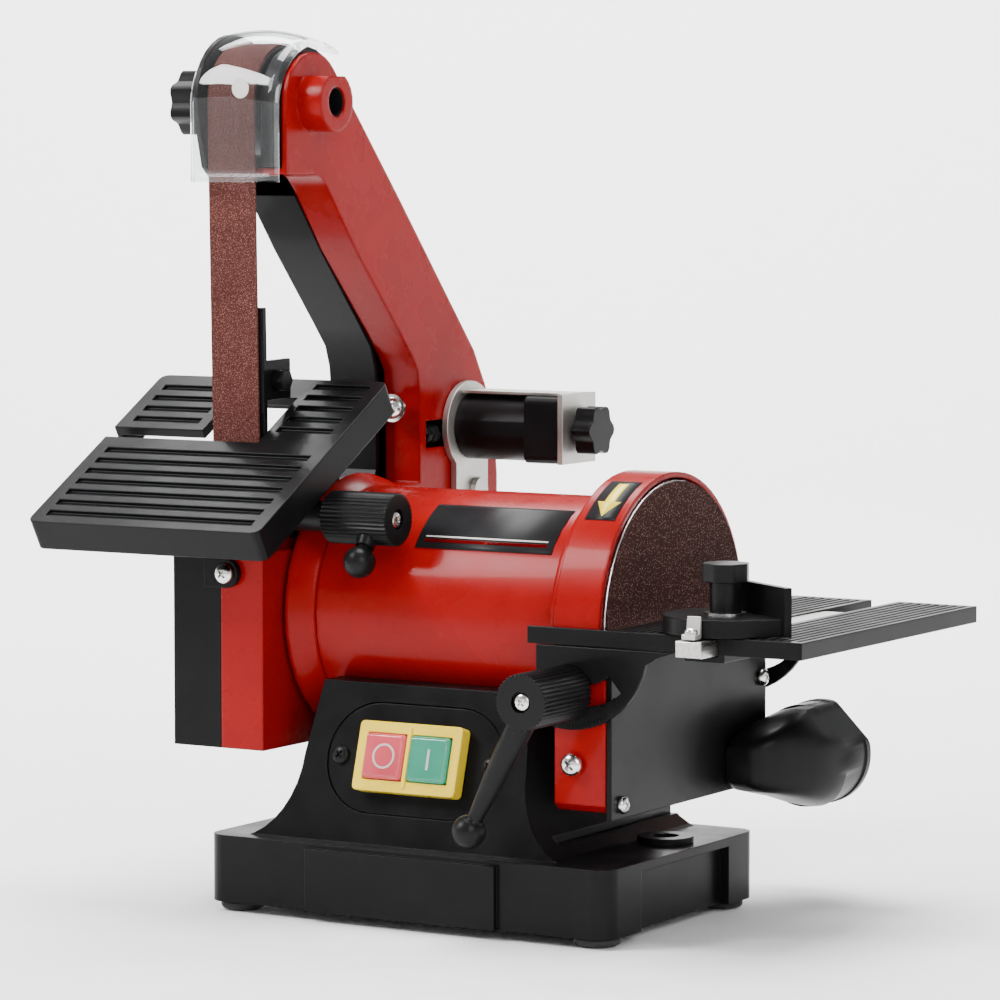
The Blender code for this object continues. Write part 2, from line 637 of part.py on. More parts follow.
def build_belt_lock():
    y, z = BELT_LOCK
    hub = rod("belt_table_lock", "X", (y, z), 7.0, -169.4, -143, PLASTIC, 20, (-140, y, z))
    knurl = prism("belt_lock_knurl", "X", lobes(y, z, 11.8, 0.7, 18, 1), -144, -110)
    stud = rod("belt_lock_stud", "X", (y, z), 4.0, -176, -168)
    tip = (-122.5, y - 12.4, z - 18.3)
    arm = lever("belt_lock_arm", (-122.5, y, z), tip, 5.0, 3.4)
    join(hub, knurl, stud, arm, ball("belt_lock_ball", tip, 7.2))
    cut(hub, rod("belt_lock_recess", "X", (y, z), 4.6, -111.5, -100))


def build_disc_guard():
    low, high = GUARD_X
    outline = arc(0, 0, GUARD_R, -7, 190, 34) + [(-65, -74), (-62, -77), (81, -77), (84, -74), (84, -11),
        (81, -8)]
    guard = prism("disc_guard", "X", outline, low, high, RED)
    lower = [(-65, -12), (-65, -74), (-62, -77), (81, -77), (84, -74), (84, -11), (81, -8), (60, -8),
        (56, -12)]
    flange = prism("guard_flange", "X", lower, high - 5, 0.7)
    join(guard, flange)
    cut(
        guard,
        prism("guard_hollow", "X", inset(outline, 2.4), low + 2.4, 10),
        rod("guard_hub_hole", "X", (0, 0), 17.5, -40, 10),
        rod("guard_screw_hole", "Y", (-14.5, -56.5), 2.7, -80, -55),
    )
    cover_points = [(-64.6, -80), (79, -80), (79, -26), (70, -12), (66, -8), (-64.6, -8)]
    cover = prism("dust_cover", "X", cover_points, 1.0, 3.5, BLACK)
    cut(
        cover,
        rod("cover_hole_front", "X", (-55.5, -74), 2.2, -5, 10, BLACK, 12),
        rod("cover_hole_rear", "X", (74.5, -32), 2.2, -5, 10, BLACK, 12),
        rod("port_hole", "X", PORT_MOUTH, 10, -5, 10),
    )
    port = rod("dust_port", "Y", PORT, 23.5, 84.6, 106, PLASTIC, 28)
    rim = rod("port_rim", "Y", PORT, 24.2, 102, 106.01, PLASTIC, 28)
    elbow = prism("port_elbow", "Z", [(3.8, 38), (26, 42), (43, 62), (46.2, 86), (3.8, 86)], -92, -45)
    across = [(3.8, -86), (8, -90), (32, -90), (44, -79), (44, -61.5), (28.5, -45.5), (3.8, -45.5)]
    boolean(elbow, [prism("elbow_section", "Y", across, 30, 90)], "INTERSECT")
    side = [(38, -82), (44, -89), (87, -91.5), (87, -44.5), (66, -44.5), (38, -60)]
    boolean(elbow, [prism("elbow_side", "X", side, 0, 50)], "INTERSECT")
    join(port, rim, elbow)
    cut(
        port,
        prism("port_flat", "Y", [(60, -79), (60, 20), (-39, 20)], 30, 120),
        rod("port_bore", "Y", PORT, 18.5, 86, 120, BLACK, 24),
        rod("port_throat", "Y", (20.5, -68.5), 14.5, 60, 90, BLACK, 24),
        rod("port_mouth", "X", PORT_MOUTH, 9.5, 0, 20),
        prism("port_turn", "Z", [(8, 46), (22, 47), (38, 66), (40, 80), (8, 80)], -79, -62),
    )


def build_disc():
    plate = [(0, -5.0), (7.2, -5.0), (7.2, -22), (16, -22), (16, -11), (DISC_R, -11)]
    plate += [(DISC_R, -1.1), (0, -1.1)]
    lathe("disc_plate", "X", (0, 0), plate, ALUMINIUM, 40)
    rod("abrasive_disc", "X", (0, 0), DISC_R - 0.4, -0.8, 0.0, ABRASIVE, 48)


def build_disc_table():
    pivot = (DISC_TILT[0], 18, DISC_TILT[1])
    x_low, x_high = DISC_TABLE_X
    y_low, y_high = DISC_TABLE_Y
    under = TABLE_TOP - TABLE_THICK
    side = [(x_low, TABLE_TOP), (x_low + TABLE_THICK, under), (x_high, under), (x_high, TABLE_TOP)]
    table = prism("disc_table", "Y", side, y_low, y_high, BLACK, pivot)
    strip = block("table_front_strip", (-35.8, x_low + 8), (y_low, y_low + 2.6), (under, TABLE_TOP))
    channel = block("table_channel", (SLOT_X[0] - 3, SLOT_X[1] + 3), (y_low, y_high),
        (under - 3.2, under + 1))
    join(table, strip, channel)
    cutters = [block("mitre_slot", SLOT_X, (y_low - 5, y_high + 5), (TABLE_TOP - 8.0, TABLE_TOP + 3))]
    for i in range(7):
        low = 12.2 + 4.4 * i
        cutters.append(block(f"table_groove_a{i}", (low, low + 2.2), (y_low + 4, y_high - 4),
            (TABLE_TOP - 1.2, 9)))
    for i in range(8):
        low = 61.2 + 4.4 * i
        cutters.append(block(f"table_groove_b{i}", (low, low + 2.0), (y_low + 4, y_high - 4),
            (TABLE_TOP - 1.2, 9)))
    cut(table, *cutters)
    x, z = DISC_TILT
    top = under - GAP
    edge = [(-31.5, top), (-31.5, -30), (-28, -38)] + arc(-15, -3, 38.2, 255, 348, 12) + [(27, -8),
        (36, top)]
    first = math.degrees(math.atan2(DISC_LOCK[1] - z, DISC_LOCK[0] - x))
    reach = math.hypot(DISC_LOCK[0] - x, DISC_LOCK[1] - z)
    for name, low, high in (("quadrant_front", y_low, y_low + 2.6), ("quadrant_rear", 85.5, 88.5)):
        quadrant = prism(name, "Y", edge, low, high, BLACK, pivot)
        outline = arc(x, z, reach + 4.6, first - 12, first + 57, 9) + arc(x, z, reach - 4.6, first + 57,
            first - 12, 9)
        cut(quadrant, prism(name + "_slot", "Y", outline, low - 5, high + 5))


def build_disc_lock():
    x, z = DISC_LOCK
    hub = prism("disc_table_lock", "Y", lobes(x, z, 12.3, 0.7, 18, 1), -110, -70.5, PLASTIC, (x, -90, z))
    stud = rod("disc_lock_stud", "Y", (x, z), 4.0, -72, -65.9)
    tip = (x - 31, -101, z - 58.5)
    arm = lever("disc_lock_arm", (x, -101, z), tip, 6.0, 3.8)
    join(hub, stud, arm, ball("disc_lock_ball", tip, 7.4))
    cut(hub, rod("disc_lock_recess", "Y", (x, z), 4.6, -120, -108.4))


def build_mitre_gauge():
    x, y = MITRE
    pivot = (x, y, TABLE_TOP)
    bar = block("mitre_bar", (SLOT_X[0] + GAP, SLOT_X[1] - GAP), (-83.5, 55),
        (TABLE_TOP - 7.6, TABLE_TOP - 0.6), STEEL, pivot)
    cut(bar, rod("bar_thread", "Z", (x, y), 3.3, -20, 20, BLACK, 12))
    low = TABLE_TOP + 0.4
    plate = [(x - 29, y + 12), *arc(x, y, 26.8, 180, 360, 16), (x + 29, y + 12)]
    head = prism("mitre_head", "Z", plate, low, low + 7.6, BLACK, pivot)
    fence = block("mitre_fence", (x - 32, x + 32), (y + 11, y + 14.5), (low, low + 21))
    join(head, fence)
    bore = rod("mitre_head_bore", "Z", (x, y), 3.5, -20, 20, BLACK, 12)
    cut(head, bore)
    swing([head, fence, bore], (x, y, 0), "Z", MITRE_TURN)
    knob = prism("mitre_knob", "Z", lobes(x, y, 10.4, 1.0, 8, 2), 24.6, 32.6, PLASTIC, pivot)
    stem = rod("mitre_knob_stem", "Z", (x, y), 6.8, low + 8.2, 25)
    screw = rod("mitre_knob_screw", "Z", (x, y), 3.0, -2, low + 9, BLACK, 12)
    join(knob, stem, screw)
    prism("mitre_pointer", "X", [(-83.4, TABLE_TOP + 0.1), (-77.4, TABLE_TOP + 0.1), (-77.1, 12.0),
        (-78.4, 12.4),
                    (-79.4, 5.2), (-83.4, 5.0)], x - 3.2, x + 3.2, STEEL, pivot)


def build_all():
    build_base()
    build_feet()
    build_switch()
    build_base_fittings()
    build_motor()
    build_frame()
    build_cover()
    build_upper_wheel()
    build_wheels_below()
    build_tension()
    build_belt_and_platen()
    build_fasteners()
    build_belt_table()
    build_belt_lock()
    build_disc_guard()
    build_disc()
    build_disc_table()
    build_disc_lock()
    build_mitre_gauge()


build_all()
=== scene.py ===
"""The looks of the belt and disc sander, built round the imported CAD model.

at(x, y, z) takes millimetres from the centre of the abrasive disc's face, as X along the motor shaft
towards the disc, Y to the back and Z up. The disc's own box in the frame gives that centre.
"""

import math

import bmesh
import bpy
from mathutils import Matrix, Vector
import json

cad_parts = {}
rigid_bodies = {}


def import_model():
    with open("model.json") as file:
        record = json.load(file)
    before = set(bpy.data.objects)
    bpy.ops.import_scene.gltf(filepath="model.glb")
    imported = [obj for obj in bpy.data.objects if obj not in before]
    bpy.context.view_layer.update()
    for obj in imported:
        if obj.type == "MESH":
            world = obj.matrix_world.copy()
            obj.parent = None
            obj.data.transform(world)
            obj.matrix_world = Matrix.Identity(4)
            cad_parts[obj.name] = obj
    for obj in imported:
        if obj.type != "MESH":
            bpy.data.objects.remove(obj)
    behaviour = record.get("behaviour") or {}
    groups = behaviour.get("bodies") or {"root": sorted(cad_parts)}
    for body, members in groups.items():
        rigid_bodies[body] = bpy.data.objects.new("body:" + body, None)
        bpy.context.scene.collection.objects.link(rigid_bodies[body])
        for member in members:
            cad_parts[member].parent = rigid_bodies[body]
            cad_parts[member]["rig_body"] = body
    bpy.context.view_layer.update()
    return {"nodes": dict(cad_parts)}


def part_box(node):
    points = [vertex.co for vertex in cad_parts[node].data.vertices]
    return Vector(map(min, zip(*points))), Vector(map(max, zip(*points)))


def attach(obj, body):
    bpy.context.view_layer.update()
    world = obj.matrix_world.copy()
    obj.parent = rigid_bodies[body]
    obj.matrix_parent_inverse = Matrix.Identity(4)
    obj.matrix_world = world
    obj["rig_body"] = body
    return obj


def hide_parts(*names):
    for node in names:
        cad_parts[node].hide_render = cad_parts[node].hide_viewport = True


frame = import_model()

MM = 0.001
DISC_LOW, DISC_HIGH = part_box("abrasive_disc")
DISC_CENTRE = Vector((DISC_HIGH.x, (DISC_LOW.y + DISC_HIGH.y) / 2, (DISC_LOW.z + DISC_HIGH.z) / 2))


def at(x, y, z):
    return DISC_CENTRE + Vector((x, y, z)) * MM


def middle(node):
    """The middle of a CAD node's box, in millimetres from the disc's centre."""
    low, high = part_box(node)
    return ((low + high) / 2 - DISC_CENTRE) / MM


def corners(node):
    """The lowest and highest corner of a CAD node, in millimetres from the disc's centre."""
    low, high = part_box(node)
    return (low - DISC_CENTRE) / MM, (high - DISC_CENTRE) / MM


# Materials


def node_tree(name):
    material = bpy.data.materials.new(name)
    material.use_nodes = True
    tree = material.node_tree
    return material, tree, tree.nodes["Principled BSDF"]


def texture(tree, kind, scale, **settings):
    """A texture in object space, with its scale in cycles per metre."""
    coordinates = tree.nodes.new("ShaderNodeTexCoord")
    node = tree.nodes.new(kind)
    tree.links.new(coordinates.outputs["Object"], node.inputs["Vector"])
    node.inputs["Scale"].default_value = scale
    for key, value in settings.items():
        node.inputs[key].default_value = value
    return node


def ramp(tree, source, stops):
    node = tree.nodes.new("ShaderNodeValToRGB")
    tree.links.new(source, node.inputs["Fac"])
    elements = node.color_ramp.elements
    while len(elements) < len(stops):
        elements.new(0.5)
    for element, (position, colour) in zip(elements, stops):
        element.position = position
        element.color = (*colour, 1.0)
    return node.outputs["Color"]


def scaled(colour, factor):
    return tuple(min(1.0, channel * factor) for channel in colour)


def bump(tree, shader, source, strength, distance, rounding=0.0):
    node = tree.nodes.new("ShaderNodeBump")
    if rounding:
        edges = tree.nodes.new("ShaderNodeBevel")
        edges.samples = 6
        edges.inputs["Radius"].default_value = rounding * MM
        tree.links.new(edges.outputs["Normal"], node.inputs["Normal"])
    node.inputs["Strength"].default_value = strength
    node.inputs["Distance"].default_value = distance
    tree.links.new(source, node.inputs["Height"])
    tree.links.new(node.outputs["Normal"], shader.inputs["Normal"])


def surface(
    name,
    colour,
    roughness,
    grain=900.0,
    relief=0.05,
    depth=0.0001,
    variation=0.08,
    metallic=0.0,
    coat=0.0,
    specular=0.5,
    rounding=0.0,
):
    """A painted, moulded or metal surface: colour and roughness that vary a little, over a fine relief.

    grain is the relief's scale in cycles per metre, depth its height in metres, and rounding the radius in
    millimetres over which the shading softens an edge.
    """
    material, tree, shader = node_tree(name)
    broad = texture(tree, "ShaderNodeTexNoise", 45.0, Detail=4.0)
    stops = ((0.3, scaled(colour, 1 - variation)), (0.7, scaled(colour, 1 + variation)))
    tree.links.new(ramp(tree, broad.outputs["Fac"], stops), shader.inputs["Base Color"])
    rough = ramp(tree, broad.outputs["Fac"], ((0.3, (roughness * 0.85,) * 3), (0.7, (roughness * 1.2,) * 3)))
    tree.links.new(rough, shader.inputs["Roughness"])
    fine = texture(tree, "ShaderNodeTexNoise", grain, Detail=3.0)
    bump(tree, shader, fine.outputs["Fac"], relief, depth, rounding)
    shader.inputs["Metallic"].default_value = metallic
    shader.inputs["Specular IOR Level"].default_value = specular
    shader.inputs["Coat Weight"].default_value = coat
    shader.inputs["Coat Roughness"].default_value = 0.06
    return material


BRUSH_SCALE = 700.0


def brushed(name, colour, roughness, stretch):
    """Ground or machined metal: noise stretched along one direction."""
    material, tree, shader = node_tree(name)
    coordinates = tree.nodes.new("ShaderNodeTexCoord")
    mapping = tree.nodes.new("ShaderNodeMapping")
    mapping.inputs["Scale"].default_value = stretch
    tree.links.new(coordinates.outputs["Object"], mapping.inputs["Vector"])
    noise = tree.nodes.new("ShaderNodeTexNoise")
    noise.inputs["Scale"].default_value = BRUSH_SCALE
    noise.inputs["Detail"].default_value = 5.0
    tree.links.new(mapping.outputs["Vector"], noise.inputs["Vector"])
    stops = ((0.3, scaled(colour, 0.78)), (0.7, scaled(colour, 1.12)))
    tree.links.new(ramp(tree, noise.outputs["Fac"], stops), shader.inputs["Base Color"])
    rough = ramp(tree, noise.outputs["Fac"], ((0.3, (roughness * 0.7,) * 3), (0.7, (roughness * 1.3,) * 3)))
    tree.links.new(rough, shader.inputs["Roughness"])
    bump(tree, shader, noise.outputs["Fac"], 0.12, 0.0002)
    shader.inputs["Metallic"].default_value = 1.0
    return material


def abrasive(name, dark, light, scale):
    """Grit bonded on cloth: dark resin with pale grains that stand proud of it."""
    material, tree, shader = node_tree(name)
    cells = texture(tree, "ShaderNodeTexVoronoi", scale, Randomness=1.0)
    grain = texture(tree, "ShaderNodeTexNoise", scale * 1.6, Detail=2.0)
    broad = texture(tree, "ShaderNodeTexNoise", 60.0, Detail=3.0)
    mix = tree.nodes.new("ShaderNodeMix")
    mix.data_type = "RGBA"
    mix.blend_type = "MULTIPLY"
    mix.inputs["Factor"].default_value = 0.6
    stops = ((0.0, light), (0.16, scaled(light, 0.8)), (0.26, dark), (0.8, scaled(dark, 0.5)))
    tree.links.new(ramp(tree, cells.outputs["Distance"], stops), mix.inputs["A"])
    worn = ramp(tree, broad.outputs["Fac"], ((0.3, (0.72, 0.7, 0.7)), (0.7, (1.0, 1.0, 1.0))))
    tree.links.new(worn, mix.inputs["B"])
    tree.links.new(mix.outputs["Result"], shader.inputs["Base Color"])
    rough = ramp(tree, cells.outputs["Distance"], ((0.05, (0.3,) * 3), (0.3, (0.85,) * 3)))
    tree.links.new(rough, shader.inputs["Roughness"])
    bump(tree, shader, grain.outputs["Fac"], 0.9, 0.0005)
    shader.inputs["Specular IOR Level"].default_value = 0.15
    return material


def clear(name, tint, roughness):
    """A thin clear sheet: light passes nearly straight, and a glossy coat gives the reflections."""
    material, tree, shader = node_tree(name)
    shader.inputs["Base Color"].default_value = (*tint, 1.0)
    shader.inputs["Transmission Weight"].default_value = 1.0
    shader.inputs["IOR"].default_value = 1.03
    shader.inputs["Coat Weight"].default_value = 1.0
    shader.inputs["Coat IOR"].default_value = 1.5
    shader.inputs["Coat Roughness"].default_value = 0.03
    haze = texture(tree, "ShaderNodeTexNoise", 120.0, Detail=4.0)
    rough = ramp(tree, haze.outputs["Fac"], ((0.35, (roughness,) * 3), (0.75, (roughness * 3.0,) * 3)))
    tree.links.new(rough, shader.inputs["Roughness"])
    return material


RED = surface(
    "red_paint",
    (0.23, 0.0011, 0.0013),
    0.27,
    grain=500.0,
    depth=0.0002,
    coat=0.06,
    specular=0.1,
    rounding=1.8,
)
BLACK = surface(
    "black_paint",
    (0.0045, 0.0045, 0.005),
    0.33,
    grain=1500.0,
    relief=0.22,
    depth=0.0002,
    variation=0.2,
    coat=0.03,
    specular=0.08,
    rounding=0.7,
)
PLASTIC = surface(
    "black_plastic",
    (0.0055, 0.0055, 0.006),
    0.34,
    grain=2200.0,
    relief=0.16,
    depth=0.0002,
    variation=0.18,
    specular=0.13,
    rounding=0.6,
)
RUBBER = surface("rubber", (0.012, 0.012, 0.012), 0.75, grain=1800.0, relief=0.3, depth=0.0003, variation=0.2)
ZINC = surface(
    "zinc_steel",
    (0.50, 0.49, 0.46),
    0.42,
    grain=1300.0,
    relief=0.25,
    depth=0.0002,
    variation=0.18,
    metallic=0.9,
)
SCREW = surface(
    "screw_steel", (0.72, 0.71, 0.69), 0.2, grain=1200.0, relief=0.08, variation=0.12, metallic=1.0
)
GROUND = brushed("bright_steel", (0.62, 0.60, 0.57), 0.32, (1.0, 0.05, 1.0))
TURNED = brushed("turned_steel", (0.66, 0.65, 0.64), 0.25, (1.0, 0.06, 0.06))
ALUMINIUM = brushed("cast_aluminium", (0.8, 0.8, 0.81), 0.24, (1.0, 0.08, 0.08))
COPPER = surface(
    "copper", (0.62, 0.27, 0.13), 0.35, grain=1600.0, relief=0.4, depth=0.0004, variation=0.2, metallic=1.0
)
BELT_GRIT = abrasive("belt_grit", (0.12, 0.032, 0.025), (0.50, 0.30, 0.25), 1650.0)
DISC_GRIT = abrasive("disc_grit", (0.045, 0.012, 0.009), (0.36, 0.20, 0.15), 1100.0)
YELLOW = surface("yellow_plastic", (0.78, 0.55, 0.02), 0.3, relief=0.06, variation=0.06, coat=0.3)
RED_BUTTON = surface("red_button", (0.56, 0.035, 0.06), 0.35)
GREEN_BUTTON = surface("green_button", (0.004, 0.24, 0.14), 0.35)
# White for the printed marks, and also for the guard's moulding gate, where the white is a painted highlight.
WHITE_PRINT_AND_HIGHLIGHT = surface("white_print_and_painted_highlight", (0.62, 0.60, 0.56), 0.5, variation=0.06)
LABEL = surface(
    "label_black", (0.010, 0.010, 0.011), 0.38, grain=700.0, relief=0.03, variation=0.1, specular=0.15
)
ARROW = surface("label_yellow", (0.82, 0.63, 0.03), 0.35, grain=700.0, relief=0.03, variation=0.05)
CLEAR = clear("clear_plastic", (0.90, 0.915, 0.93), 0.018)


# Mesh tools


SHARP = 35.0


def to_object(name, bm, material, angle=SHARP):
    """Turns millimetre points into a smooth-shaded object in the frame."""
    bmesh.ops.recalc_face_normals(bm, faces=bm.faces)
    for vert in bm.verts:
        vert.co = at(*vert.co)
    mesh = bpy.data.meshes.new(name)
    bm.to_mesh(mesh)
    bm.free()
    mesh.materials.append(material)
    mesh.shade_smooth()
    mesh.set_sharp_from_angle(angle=math.radians(angle))
    obj = bpy.data.objects.new(name, mesh)
    bpy.context.scene.collection.objects.link(obj)
    return obj


def bevel(obj, width, segments, angle=SHARP):
    """Rounds the edges sharper than angle, by width millimetres."""
    modifier = obj.modifiers.new("edges", "BEVEL")
    modifier.width = width * MM
    modifier.segments = segments
    modifier.limit_method = "ANGLE"
    modifier.angle_limit = math.radians(angle)
    modifier.use_clamp_overlap = True
    modifier.harden_normals = True
    return obj


def arc(a, b, radius, start, end, steps):
    angles = [math.radians(start + (end - start) * i / steps) for i in range(steps + 1)]
    return [(a + radius * math.cos(t), b + radius * math.sin(t)) for t in angles]


def on_axis(axis, a, b, along):
    return {"X": (along, a, b), "Y": (a, along, b), "Z": (a, b, along)}[axis]


def walls(bm, first, second):
    """Joins two closed loops of vertices with four-sided faces."""
    for i in range(len(first)):
        j = (i + 1) % len(first)
        bm.faces.new((first[i], first[j], second[j], second[i]))


def prism(name, axis, outline, low, high, material):
    """An outline carried along an axis from low to high."""
    bm = bmesh.new()
    ends = [[bm.verts.new(on_axis(axis, a, b, along)) for a, b in outline] for along in (low, high)]
    bm.faces.new(ends[0])
    bm.faces.new(ends[1])
    walls(bm, *ends)
    return to_object(name, bm, material)


def turned(name, start, direction, profile, material, segments=48, angle=SHARP):
    """A solid of revolution: (distance from start along direction, radius) points, closed at both ends."""
    bm = bmesh.new()
    direction = Vector(direction).normalized()
    side = direction.orthogonal().normalized()
    up = direction.cross(side)
    rings = []
    for along, radius in profile:
        centre = Vector(start) + direction * along
        if radius == 0:
            rings.append([bm.verts.new(centre)] * segments)
            continue
        ring = []
        for a, b in arc(0, 0, radius, 0, 360, segments)[:-1]:
            ring.append(bm.verts.new(centre + side * a + up * b))
        rings.append(ring)
    for first, second in zip(rings, rings[1:]):
        for i in range(segments):
            j = (i + 1) % segments
            points = list(dict.fromkeys((first[i], first[j], second[j], second[i])))
            if len(points) > 2:
                bm.faces.new(points)
    for ring in (rings[0], rings[-1]):
        if len(set(ring)) > 1:
            bm.faces.new(ring)
    return to_object(name, bm, material, angle)


def lobes(a, b, radius, depth, count, steps):
    """A circle with count shallow grooves cut into it, as points."""
    total = count * steps
    points = []
    for i in range(total):
        angle = 2 * math.pi * i / total
        reach = radius - depth * (0.5 - 0.5 * math.cos(count * angle))
        points.append((a + reach * math.cos(angle), b + reach * math.sin(angle)))
    return points


SOFT_ANGLE = 28.0
MERGE = 0.03 * MM


def softened(node, material, width):
    """A copy of a CAD node with its flat faces made whole and its edges rounded."""
    source = frame["nodes"][node]
    bm = bmesh.new()
    bm.from_mesh(source.data)
    bmesh.ops.remove_doubles(bm, verts=bm.verts, dist=MERGE)
    bmesh.ops.dissolve_degenerate(bm, edges=bm.edges, dist=MERGE)
    bmesh.ops.dissolve_limit(bm, angle_limit=math.radians(0.5), verts=bm.verts, edges=bm.edges)
    mesh = bpy.data.meshes.new(node + "_body")
    bm.to_mesh(mesh)
    bm.free()
    mesh.materials.clear()
    mesh.materials.append(material)
    mesh.shade_smooth()
    mesh.set_sharp_from_angle(angle=math.radians(SOFT_ANGLE + 2))
    obj = bpy.data.objects.new(node + "_body", mesh)
    bpy.context.scene.collection.objects.link(obj)
    if width:
        bevel(obj, width, 2, SOFT_ANGLE)
    weights = obj.modifiers.new("flat_faces", "WEIGHTED_NORMAL")
    weights.keep_sharp = True
    weights.weight = 90
    return obj


def stands_for(piece, node):
    """The piece takes a CAD node's place and moves with its body."""
    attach(piece, frame["nodes"][node]["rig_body"])
    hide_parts(node)
    return piece


def goes_with(piece, body):
    """The piece is an extra one, and moves with the body."""
    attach(piece, body)
    return piece


def subtract(target, *cutters):
    """Cuts shapes out of a new piece for good, and removes the cutters."""
    for cutter in cutters:
        modifier = target.modifiers.new("cut", "BOOLEAN")
        modifier.operation = "DIFFERENCE"
        modifier.object = cutter
    bpy.context.view_layer.update()
    graph = bpy.context.evaluated_depsgraph_get()
    mesh = bpy.data.meshes.new_from_object(target.evaluated_get(graph))
    target.modifiers.clear()
    target.data = mesh
    for cutter in cutters:
        bpy.data.objects.remove(cutter)
    mesh.set_sharp_from_angle(angle=math.radians(SHARP))
    return target


# Whole CAD nodes with soft edges: node, material, record slot, edge radius in millimetres

SOFT_NODES = (
    ("base_casting", BLACK, "black_paint", 1.3),
    ("foot_front_left", RUBBER, "rubber", 0.8),
    ("foot_front_right", RUBBER, "rubber", 0.8),
    ("foot_rear_left", RUBBER, "rubber", 0.8),
    ("foot_rear_right", RUBBER, "rubber", 0.8),
    ("switch_plate", BLACK, "black_plastic", 0.4),
    ("switch_bezel", YELLOW, "yellow_plastic", 1.0),
    ("off_button", RED_BUTTON, "red_plastic", 0.7),
    ("on_button", GREEN_BUTTON, "green_plastic", 0.7),
    ("cable_gland", RUBBER, "rubber", 0.6),
    ("motor_shell", RED, "red_paint", 0.3),
    ("end_bell_left", RED, "red_paint", 0.8),
    ("end_bell_right", RED, "red_paint", 0.8),
    ("belt_frame", RED, "red_paint", 1.1),
    ("belt_cover", BLACK, "black_paint", 0.9),
    ("wheel_shroud", PLASTIC, "black_plastic", 1.5),
    ("cover_knob", PLASTIC, "black_plastic", 1.6),
    ("tension_plate", ZINC, "zinc_steel", 0.5),
    ("tracking_housing", PLASTIC, "black_plastic", 1.0),
    ("tracking_strip", ZINC, "zinc_steel", 0.5),
    ("tracking_knob", PLASTIC, "black_plastic", 1.4),
    ("platen", BLACK, "black_paint", 0.4),
    ("platen_bolt", BLACK, "black_paint", 0.5),
    ("belt_table", BLACK, "black_paint", 0.7),
    ("belt_table_bracket", BLACK, "black_paint", 0.5),
    ("disc_guard", RED, "red_paint", 0.9),
    ("dust_cover", BLACK, "black_paint", 0.6),
    ("disc_plate", ALUMINIUM, "cast_aluminium", 0.4),
    ("abrasive_disc", DISC_GRIT, "abrasive_cloth", 0.0),
    ("disc_table", BLACK, "black_paint", 0.35),
    ("quadrant_front", BLACK, "black_paint", 0.4),
    ("quadrant_rear", BLACK, "black_paint", 0.4),
    ("mitre_bar", GROUND, "bright_steel", 0.4),
    ("mitre_head", BLACK, "black_paint", 0.8),
    ("mitre_knob", PLASTIC, "black_plastic", 0.7),
    ("mitre_pointer", ZINC, "zinc_steel", 0.3),
    ("upper_wheel", PLASTIC, "black_plastic", 0.5),
    ("idler_wheel", PLASTIC, "black_plastic", 0.5),
    ("drive_wheel", ALUMINIUM, "cast_aluminium", 0.5),
)

INNER_NODES = (
    ("capacitor", PLASTIC),
    ("stator", COPPER),
    ("rotor_core", TURNED),
    ("motor_shaft", TURNED),
    ("bearing_left", TURNED),
    ("bearing_right", TURNED),
    ("cooling_fan", PLASTIC),
    ("upper_axle", TURNED),
    ("idler_axle", TURNED),
    ("tension_pin", ZINC),
    ("tension_spring", PLASTIC),
)


def dress_cad_nodes():
    for node, material, slot_name, width in SOFT_NODES:
        stands_for(softened(node, material, width), node)
    for node, material in INNER_NODES:
        data = frame["nodes"][node].data
        data.materials.clear()
        data.materials.append(material)


# Belt side


def wheel(node):
    """A belt wheel's centre across the belt, as Y and Z, and its radius."""
    centre = middle(node)
    low, high = corners(node)
    return centre.y, centre.z, (high.z - low.z) / 2


STEPS_PER_WHEEL = 40
BELT_LIFT = 0.5
BELT_THICK = 1.0


def belt_path(offset):
    """The closed path round the three wheels, at a distance outside their rims."""
    wheels = [wheel(name) for name in ("drive_wheel", "idler_wheel", "upper_wheel")]
    leave = []
    for i, (y1, z1, r1) in enumerate(wheels):
        y2, z2, r2 = wheels[(i + 1) % 3]
        along = math.atan2(z2 - z1, y2 - y1)
        leave.append(math.degrees(along - math.acos((r1 - r2) / math.hypot(y2 - y1, z2 - z1))))
    points = []
    for i, (y, z, radius) in enumerate(wheels):
        start, end = leave[i - 1], leave[i]
        while end < start:
            end += 360
        points += arc(y, z, radius + offset, start, end, STEPS_PER_WHEEL)
    return points


def build_belt():
    low, high = corners("abrasive_belt")
    inner, outer = belt_path(BELT_LIFT), belt_path(BELT_LIFT + BELT_THICK)
    bm = bmesh.new()
    loops = []
    for outline, x in ((inner, low.x), (outer, low.x), (outer, high.x), (inner, high.x)):
        loops.append([bm.verts.new((x, y, z)) for y, z in outline])
    for k in range(4):
        walls(bm, loops[k], loops[(k + 1) % 4])
    belt = to_object("abrasive_belt_body", bm, BELT_GRIT, 50.0)
    stands_for(belt, "abrasive_belt")


HOOD_WALL = 1.2
HOOD_SLICES = 12
HOOD_SHOULDER = 5.0


